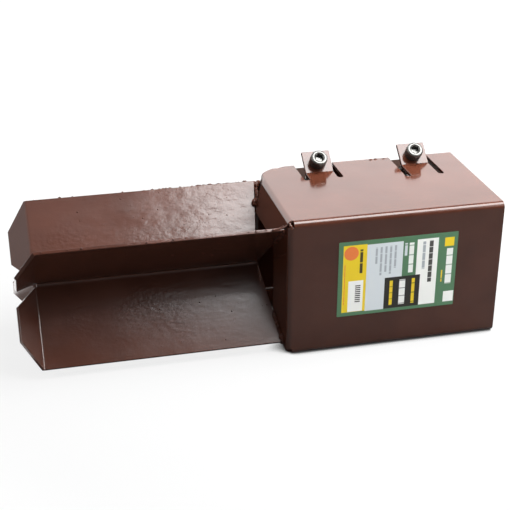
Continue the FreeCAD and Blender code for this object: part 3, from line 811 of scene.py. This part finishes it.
# %% The spatter tree
def spatter_tree(material):
    tree, sizes = grower("spatter", [
        ("Density", "Float", 5200.0), ("Seed", "Int", 7),
        ("Smallest", "Float", 0.16 * MM), ("Largest", "Float", 0.75 * MM),
        ("Starts at", "Float", -185.0 * MM), ("Full at", "Float", -90.0 * MM),
    ])
    here = node(tree, "GeometryNodeInputPosition").outputs[0]
    along = node(tree, "ShaderNodeSeparateXYZ", {0: here}).outputs["X"]
    sockets = {"Value": along, "From Min": sizes["Starts at"], "From Max": sizes["Full at"]}
    share = node(tree, "ShaderNodeMapRange", sockets, clamp=True).outputs[0]
    close = math_of(tree, "POWER", share, 2.2)
    density = math_of(tree, "MULTIPLY", close, sizes["Density"])
    sockets = {"Mesh": sizes["Geometry"], "Density": density, "Seed": sizes["Seed"]}
    drops = node(tree, "GeometryNodeDistributePointsOnFaces", sockets)
    sockets = {"Min": 0.0, "Max": 1.0, "Seed": sizes["Seed"]}
    chance = node(tree, "FunctionNodeRandomValue", sockets, data_type="FLOAT").outputs["Value"]
    rare = math_of(tree, "POWER", chance, 3.0)
    sockets = {"Value": rare, "To Min": sizes["Smallest"], "To Max": sizes["Largest"]}
    radius = node(tree, "ShaderNodeMapRange", sockets).outputs[0]
    height = math_of(tree, "MULTIPLY", radius, 0.6)
    scale = node(tree, "ShaderNodeCombineXYZ", {0: radius, 1: radius, 2: height}).outputs[0]
    drop = node(tree, "GeometryNodeMeshUVSphere", DROP).outputs[0]
    sockets = {"Points": drops.outputs["Points"], "Instance": drop, "Scale": scale}
    sockets["Rotation"] = drops.outputs["Rotation"]
    placed = node(tree, "GeometryNodeInstanceOnPoints", sockets).outputs[0]
    finish_tree(tree, placed, material)
    return tree


throw = spatter_tree(weld_paint)
print("spatter tree:", len(throw.nodes), "nodes")

# %% [markdown]
# Both angles of the tail go into one source object, so that one run covers
# them.  The source is thrown away afterwards: only the drops are kept.


# %% Throw the drops
def faces_of(*pieces):
    """One source object that holds copies of several pieces' faces."""
    solid = bmesh.new()
    for piece in pieces:
        solid.from_mesh(piece.data)
    mesh = bpy.data.meshes.new("spatter_ground")
    solid.to_mesh(mesh)
    solid.free()
    return link(mesh, "spatter_ground")


source = faces_of(tail_front, tail_rear)
spatter = grow(throw, source, "spatter")
bpy.data.objects.remove(source)
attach(spatter, "root")

# %% [markdown]
# ## Zinc
#
# The screws and nuts are plated.  The plating is dark and fairly glossy, and
# its dull patches come from handling.  So the colour is low and half way
# between metal and varnish, and the roughness drifts a little.


# %% Zinc material
ZINC_DARK, ZINC_LIGHT = (0.065, 0.066, 0.064), (0.115, 0.112, 0.102)


def zinc():
    material, tree = new_material("dull_zinc_plate")
    place = node(tree, "ShaderNodeTexCoord").outputs["Object"]
    stain = ramp(tree, noise(tree, place, 700.0, 4.0), 0.35, 0.7)
    colour = mixed(tree, stain, ZINC_DARK, ZINC_LIGHT)
    dull = ramp(tree, noise(tree, place, 1500.0, 3.0), 0.3, 0.7, 0.17, 0.30)
    normal = bumped(tree, noise(tree, place, 2600.0, 2.0), 0.000008)
    sockets = {"Base Color": colour, "Metallic": 0.6, "IOR": 1.6}
    sockets.update({"Roughness": dull, "Normal": normal})
    skin = node(tree, "ShaderNodeBsdfPrincipled", sockets)
    node(tree, "ShaderNodeOutputMaterial", {"Surface": skin.outputs[0]})
    return material


zinc_plate = zinc()
for name in ("clamp_nut_1", "clamp_nut_2"):
    coat(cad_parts[name], zinc_plate)
print("zinc on both nuts")

# %% [markdown]
# ## Cap screws
#
# A socket-head cap screw has a ridged grip, a rounded rim, a hexagon socket
# and a thread.  The head is a lathe shape: rings of points whose radius
# depends on the angle, so one loop makes round, ridged and six-sided rings.
# Cutting the socket with a boolean would leave ragged faces at its rim.

# %% Head of the screw
HEAD_RADIUS = 6.5 * MM
HEAD_HEIGHT = 8.0 * MM
SHANK_RADIUS = 4.0 * MM
KEY_FLATS = 6.0 * MM
KEY_DEPTH = 4.2 * MM
RIM = 1.6 * MM
TURNS = 144
GRIP_RIDGES = 48


def round_ring(radius):
    return lambda angle: radius


def ridged_ring(radius, depth):
    return lambda angle: radius - depth * (0.5 - 0.5 * math.cos(GRIP_RIDGES * angle))


def six_sided_ring(flats):
    sixth = math.pi / 3
    return lambda angle: flats / 2 / math.cos((angle + sixth / 2) % sixth - sixth / 2)


def head_rings():
    """(height, radius by angle), from under the head up and into the socket."""
    rings = [(0.0, round_ring(SHANK_RADIUS * 0.9)), (0.0, round_ring(HEAD_RADIUS - 0.4 * MM))]
    rings.append((0.3 * MM, round_ring(HEAD_RADIUS - 0.05 * MM)))
    rings.append((0.8 * MM, round_ring(HEAD_RADIUS)))
    for share in (0.0, 0.25, 0.5, 0.75, 1.0):
        height = 1.2 * MM + share * (HEAD_HEIGHT - RIM - 1.9 * MM)
        depth = 0.22 * MM if 0.0 < share < 1.0 else 0.05 * MM
        rings.append((height, ridged_ring(HEAD_RADIUS, depth)))
    for step in range(7):
        turn = math.radians(15 * step)
        radius = HEAD_RADIUS - RIM + RIM * math.cos(turn)
        rings.append((HEAD_HEIGHT - RIM + RIM * math.sin(turn), round_ring(radius)))
    corner = KEY_FLATS / math.sqrt(3)
    rings.append((HEAD_HEIGHT, round_ring(corner + 0.75 * MM)))
    rings.append((HEAD_HEIGHT - 0.2 * MM, round_ring(corner + 0.5 * MM)))
    rings.append((HEAD_HEIGHT - 0.9 * MM, six_sided_ring(KEY_FLATS)))
    rings.append((HEAD_HEIGHT - KEY_DEPTH + 0.3 * MM, six_sided_ring(KEY_FLATS)))
    rings.append((HEAD_HEIGHT - KEY_DEPTH, six_sided_ring(KEY_FLATS - 0.5 * MM)))
    rings.append((HEAD_HEIGHT - KEY_DEPTH - 0.3 * MM, round_ring(0.4 * MM)))
    return rings


def lathe(rings, name):
    solid = bmesh.new()
    rows = []
    for height, radius in rings:
        row = []
        for step in range(TURNS):
            angle = 2 * math.pi * step / TURNS
            spot = (radius(angle) * math.cos(angle), radius(angle) * math.sin(angle), height)
            row.append(solid.verts.new(spot))
        rows.append(row)
    for low_row, high_row in zip(rows, rows[1:]):
        for step in range(TURNS):
            after = (step + 1) % TURNS
            solid.faces.new((low_row[step], low_row[after], high_row[after], high_row[step]))
    solid.faces.new(reversed(rows[0]))
    solid.faces.new(rows[-1])
    bmesh.ops.recalc_face_normals(solid, faces=solid.faces)
    mesh = bpy.data.meshes.new(name)
    solid.to_mesh(mesh)
    solid.free()
    return mesh


screw_head = link(lathe(head_rings(), "screw_head"), "screw_head")
print("head", len(screw_head.data.polygons), "faces")

# %% [markdown]
# The thread is one small triangle swept along a spiral, wrapped round a
# thinner core, and the tree sets a whole screw at each pair of ears.  Pitch
# and depth are those of an M8 coarse thread.


# %% The screw tree
def screw_tree(material):
    tree, sizes = grower("clamp screws", [
        ("Shank radius", "Float", SHANK_RADIUS), ("Thread pitch", "Float", 1.25 * MM),
        ("Thread depth", "Float", 0.68 * MM), ("Reach", "Float", 40.0 * MM),
        ("Plain neck", "Float", 2.5 * MM), ("Seat", "Vector", (0.0, 0.0, 0.0)),
        ("Step", "Vector", (0.0, 0.0, 0.0)), ("Lean", "Float", 0.0),
    ])
    core = math_of(tree, "SUBTRACT", sizes["Shank radius"], sizes["Thread depth"])
    run = math_of(tree, "SUBTRACT", sizes["Reach"], sizes["Plain neck"])
    run = math_of(tree, "SUBTRACT", run, 0.7 * MM)
    turns = math_of(tree, "DIVIDE", run, sizes["Thread pitch"])
    sockets = {"Resolution": 36, "Rotations": turns, "Height": run}
    sockets.update({"Start Radius": core, "End Radius": core})
    spiral = node(tree, "GeometryNodeCurveSpiral", sockets).outputs[0]
    low = math_of(tree, "MULTIPLY", math_of(tree, "ADD", run, sizes["Plain neck"]), -1.0)
    drop = node(tree, "ShaderNodeCombineXYZ", {2: low}).outputs[0]
    spiral = node(tree, "GeometryNodeTransform", {0: spiral, "Translation": drop}).outputs[0]
    sockets = {"Resolution": 4, "Radius": 1.0}
    ridge = node(tree, "GeometryNodeCurvePrimitiveCircle", sockets).outputs[0]
    sockets = {"Curve": spiral, "Profile Curve": ridge}
    sockets.update({"Scale": sizes["Thread depth"], "Fill Caps": True})
    thread = node(tree, "GeometryNodeCurveToMesh", sockets).outputs[0]

    core_wide = math_of(tree, "ADD", core, 0.02 * MM)
    sockets = {"Vertices": 48, "Radius": core_wide, "Depth": sizes["Reach"]}
    rod = node(tree, "GeometryNodeMeshCylinder", sockets).outputs[0]
    half = math_of(tree, "MULTIPLY", sizes["Reach"], -0.5)
    down = node(tree, "ShaderNodeCombineXYZ", {2: half}).outputs[0]
    rod = node(tree, "GeometryNodeTransform", {0: rod, "Translation": down}).outputs[0]
    sockets = {"Vertices": 48, "Radius": sizes["Shank radius"], "Depth": sizes["Plain neck"]}
    neck = node(tree, "GeometryNodeMeshCylinder", sockets).outputs[0]
    half = math_of(tree, "MULTIPLY", sizes["Plain neck"], -0.5)
    down = node(tree, "ShaderNodeCombineXYZ", {2: half}).outputs[0]
    neck = node(tree, "GeometryNodeTransform", {0: neck, "Translation": down}).outputs[0]

    joined = tree.nodes.new("GeometryNodeJoinGeometry")
    for part in (sizes["Geometry"], rod, neck, thread):
        tree.links.new(part, joined.inputs[0])
    tilt = node(tree, "ShaderNodeCombineXYZ", {0: sizes["Lean"]}).outputs[0]
    sockets = {"Count": 2, "Start Location": sizes["Seat"], "Offset": sizes["Step"]}
    stations = node(tree, "GeometryNodeMeshLine", sockets).outputs[0]
    sockets = {"Points": stations, "Instance": joined.outputs[0], "Rotation": tilt}
    placed = node(tree, "GeometryNodeInstanceOnPoints", sockets).outputs[0]
    finish_tree(tree, placed, material)
    return tree


screws = screw_tree(zinc_plate)
print("screw tree:", len(screws.nodes), "nodes")

# %% [markdown]
# The ears lean at 40 degrees, and so do the screws.  A screw's seat, where
# its head meets the ear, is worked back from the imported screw's own box: the
# box ends at the rim of the head above and at the tip of the shank below.

# %% Set the screws at the ears
EAR_LEAN = math.radians(40.0)
low_1, high_1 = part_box("clamp_screw_1")
low_2, high_2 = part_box("clamp_screw_2")
sin_lean, cos_lean = math.sin(EAR_LEAN), math.cos(EAR_LEAN)
crown, shoulder = HEAD_HEIGHT - RIM, HEAD_RADIUS - RIM
seat = Vector((
    (low_1.x + high_1.x) / 2,
    low_1.y + crown * sin_lean + shoulder * cos_lean + RIM,
    high_1.z - crown * cos_lean - shoulder * sin_lean - RIM,
))
tip_radius, tip_room = SHANK_RADIUS - 1.0 * MM, 0.4 * MM
screw_reach = (seat.z - low_1.z - tip_radius * sin_lean) / cos_lean - tip_room
print("screw reach in mm:", round(screw_reach / MM, 2))
step = Vector((low_2.x - low_1.x, 0.0, 0.0))
clamp_screws = grow(screws, screw_head, "clamp_screws", Seat=seat, Step=step,
                    Lean=EAR_LEAN, Reach=screw_reach)
bpy.data.objects.remove(screw_head)
clamp_screws.data.set_sharp_from_angle(angle=math.radians(38))
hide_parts("clamp_screw_1", "clamp_screw_2")
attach(clamp_screws, "root")
print("screws seat at", [round(v / MM, 2) for v in seat])

# %% [markdown]
# ## The label
#
# A gloss paper label is stuck on the front wall.  Its print is plain: fields
# of colour, and bars where lines of print would be.  Each field is a
# rectangle in millimetres from the label's lower left corner, painted one
# over the other by the same few nodes.  A row reads: ink, left, right, low,
# high.  Print made of numbers stays sharp at any distance.

# %% Fields of the print
GREEN = (0.082, 0.190, 0.100)
YELLOW = (0.82, 0.60, 0.02)
PALE = (0.67, 0.72, 0.75)
WHITE = (0.88, 0.89, 0.86)
SOFT_GREY = (0.36, 0.40, 0.43)
CHARCOAL = (0.018, 0.016, 0.013)
ORANGE = (0.78, 0.20, 0.05)
FIELDS = [
    (YELLOW, 3.4, 21.2, 3.0, 56.8),
    (WHITE, 7.9, 19.2, 3.2, 28.2),
    (PALE, 21.2, 48.5, 2.5, 56.2),
    (WHITE, 59.2, 75.5, 2.8, 56.3),
    (YELLOW, 80.4, 87.6, 48.6, 55.6),
    (WHITE, 82.0, 90.0, 3.0, 11.6),
    (CHARCOAL, 35.6, 62.8, 2.5, 28.0),
]
LINES = [
    (YELLOW, 39.6, 42.0, 5.0, 25.4),
    (WHITE, 47.0, 51.6, 5.0, 25.4),
    (YELLOW, 56.6, 59.0, 5.0, 25.4),
    (CHARCOAL, 16.0, 18.2, 34.0, 53.0),
    (ORANGE, 4.6, 5.2, 9.5, 42.0),
    (SOFT_GREY, 27.6, 29.2, 40.0, 53.2),
    (SOFT_GREY, 31.2, 32.8, 30.6, 53.2),
    (SOFT_GREY, 34.8, 36.4, 33.0, 53.4),
    (SOFT_GREY, 38.4, 40.0, 31.0, 53.6),
    (SOFT_GREY, 42.0, 43.6, 35.5, 53.6),
    (WHITE, 53.2, 56.8, 30.4, 54.4),
    (PALE, 49.8, 51.8, 44.0, 54.4),
    (CHARCOAL, 68.6, 71.6, 21.0, 54.8),
    (SOFT_GREY, 63.6, 65.8, 32.0, 54.2),
    (WHITE, 82.4, 87.2, 17.8, 46.8),
    (YELLOW, 79.0, 80.0, 20.0, 29.5),
]
STRIPES = (13.2, 17.2, 10.0, 24.5)
DOT_CENTRE, DOT_EDGE = (9.4, 0.0, 50.4), (5.35, 5.5)
print(len(FIELDS), "fields and", len(LINES), "lines")


# %% [markdown]
# The material turns a place on the wall into millimetres on the label, asks
# for each field whether the place lies inside it, and mixes in its ink.  The
# bump under the print is the slight waviness of paper over thick paint.


# %% Label material
def label_print(corner):
    material, tree = new_material("printed_label")
    place = node(tree, "ShaderNodeTexCoord").outputs["Object"]
    shift = tuple(-c / MM for c in corner)
    sockets = {"Vector": place, "Location": shift, "Scale": (1 / MM, 1 / MM, 1 / MM)}
    spot = node(tree, "ShaderNodeMapping", sockets).outputs[0]
    split = node(tree, "ShaderNodeSeparateXYZ", {0: spot})
    across, up = split.outputs["X"], split.outputs["Z"]

    def inside(value, low, high):
        middle, half = (low + high) / 2, (high - low) / 2
        away = math_of(tree, "ABSOLUTE", math_of(tree, "SUBTRACT", value, middle))
        return ramp(tree, away, half - 0.06, half + 0.06, 1.0, 0.0)

    def field(left, right, low, high):
        return math_of(tree, "MULTIPLY", inside(across, left, right), inside(up, low, high))

    colour = GREEN
    for ink, left, right, low, high in FIELDS:
        colour = mixed(tree, field(left, right, low, high), colour, ink)

    # a line of print is a bar with even gaps, each line with gaps of its own
    for number, (ink, left, right, low, high) in enumerate(LINES):
        pitch = 5.0 + 1.3 * (number % 4)
        word = math_of(tree, "DIVIDE", math_of(tree, "ADD", up, 0.9 * number), pitch)
        bar = ramp(tree, math_of(tree, "FRACT", word), 0.10, 0.13, 0.35, 0.95)
        share = math_of(tree, "MULTIPLY", field(left, right, low, high), bar)
        colour = mixed(tree, share, colour, ink)

    # even stripes on the white panel, and an orange dot on the yellow strip
    wave = math_of(tree, "PINGPONG", up, 0.8)
    bars = math_of(tree, "LESS_THAN", wave, 0.45)
    stripes = math_of(tree, "MULTIPLY", field(*STRIPES), bars)
    colour = mixed(tree, stripes, colour, CHARCOAL)
    flat_spot = node(tree, "ShaderNodeCombineXYZ", {0: across, 2: up}).outputs[0]
    sockets = {0: flat_spot, 1: DOT_CENTRE}
    away = node(tree, "ShaderNodeVectorMath", sockets, operation="DISTANCE").outputs["Value"]
    disc = ramp(tree, away, *DOT_EDGE, 1.0, 0.0)
    colour = mixed(tree, disc, colour, ORANGE)

    soft = noise(tree, place, 40.0, 1.0)
    fibre = noise(tree, place, 900.0, 2.0)
    normal = bumped(tree, soft, 0.00025)
    normal = bumped(tree, fibre, 0.000008, normal)
    dull = ramp(tree, fibre, 0.3, 0.7, 0.30, 0.38)
    sockets = {"Base Color": colour, "Roughness": dull, "Normal": normal, "IOR": 1.45}
    skin = node(tree, "ShaderNodeBsdfPrincipled", sockets)
    node(tree, "ShaderNodeOutputMaterial", {"Surface": skin.outputs[0]})
    return material


low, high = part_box("label_sheet")
printed = label_print((low.x, low.y, low.z))
print(printed.name, len(printed.node_tree.nodes), "nodes")

# %% [markdown]
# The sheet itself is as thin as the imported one.  Its outline is drawn twice,
# on the front and on the wall, and a ring of faces joins the two.  Listing
# the faces outright gives them in the same order every time.


# %% Label sheet
CORNER_RADIUS = 0.5 * MM


def rounded_sheet(low, high, radius, name):
    """A thin sheet facing -Y with rounded corners."""
    outline = []
    for (x, z), start in zip(
        ((high.x - radius, high.z - radius), (low.x + radius, high.z - radius),
         (low.x + radius, low.z + radius), (high.x - radius, low.z + radius)),
        (0, 90, 180, 270),
    ):
        for step in range(7):
            turn = math.radians(start + 15 * step)
            outline.append((x + radius * math.cos(turn), z + radius * math.sin(turn)))
    count = len(outline)
    places = [(x, y, z) for y in (low.y, high.y) for x, z in outline]
    faces = [tuple(range(count)), tuple(reversed(range(count, 2 * count)))]
    for here in range(count):
        after = (here + 1) % count
        faces.append((after, here, count + here, count + after))
    mesh = bpy.data.meshes.new(name)
    mesh.from_pydata(places, [], faces)
    return link(mesh, name)


label = rounded_sheet(low, high, CORNER_RADIUS, "label_print")
label.data.materials.append(printed)
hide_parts("label_sheet")
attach(label, "root")
print("label", [round(v / MM, 1) for v in high - low])
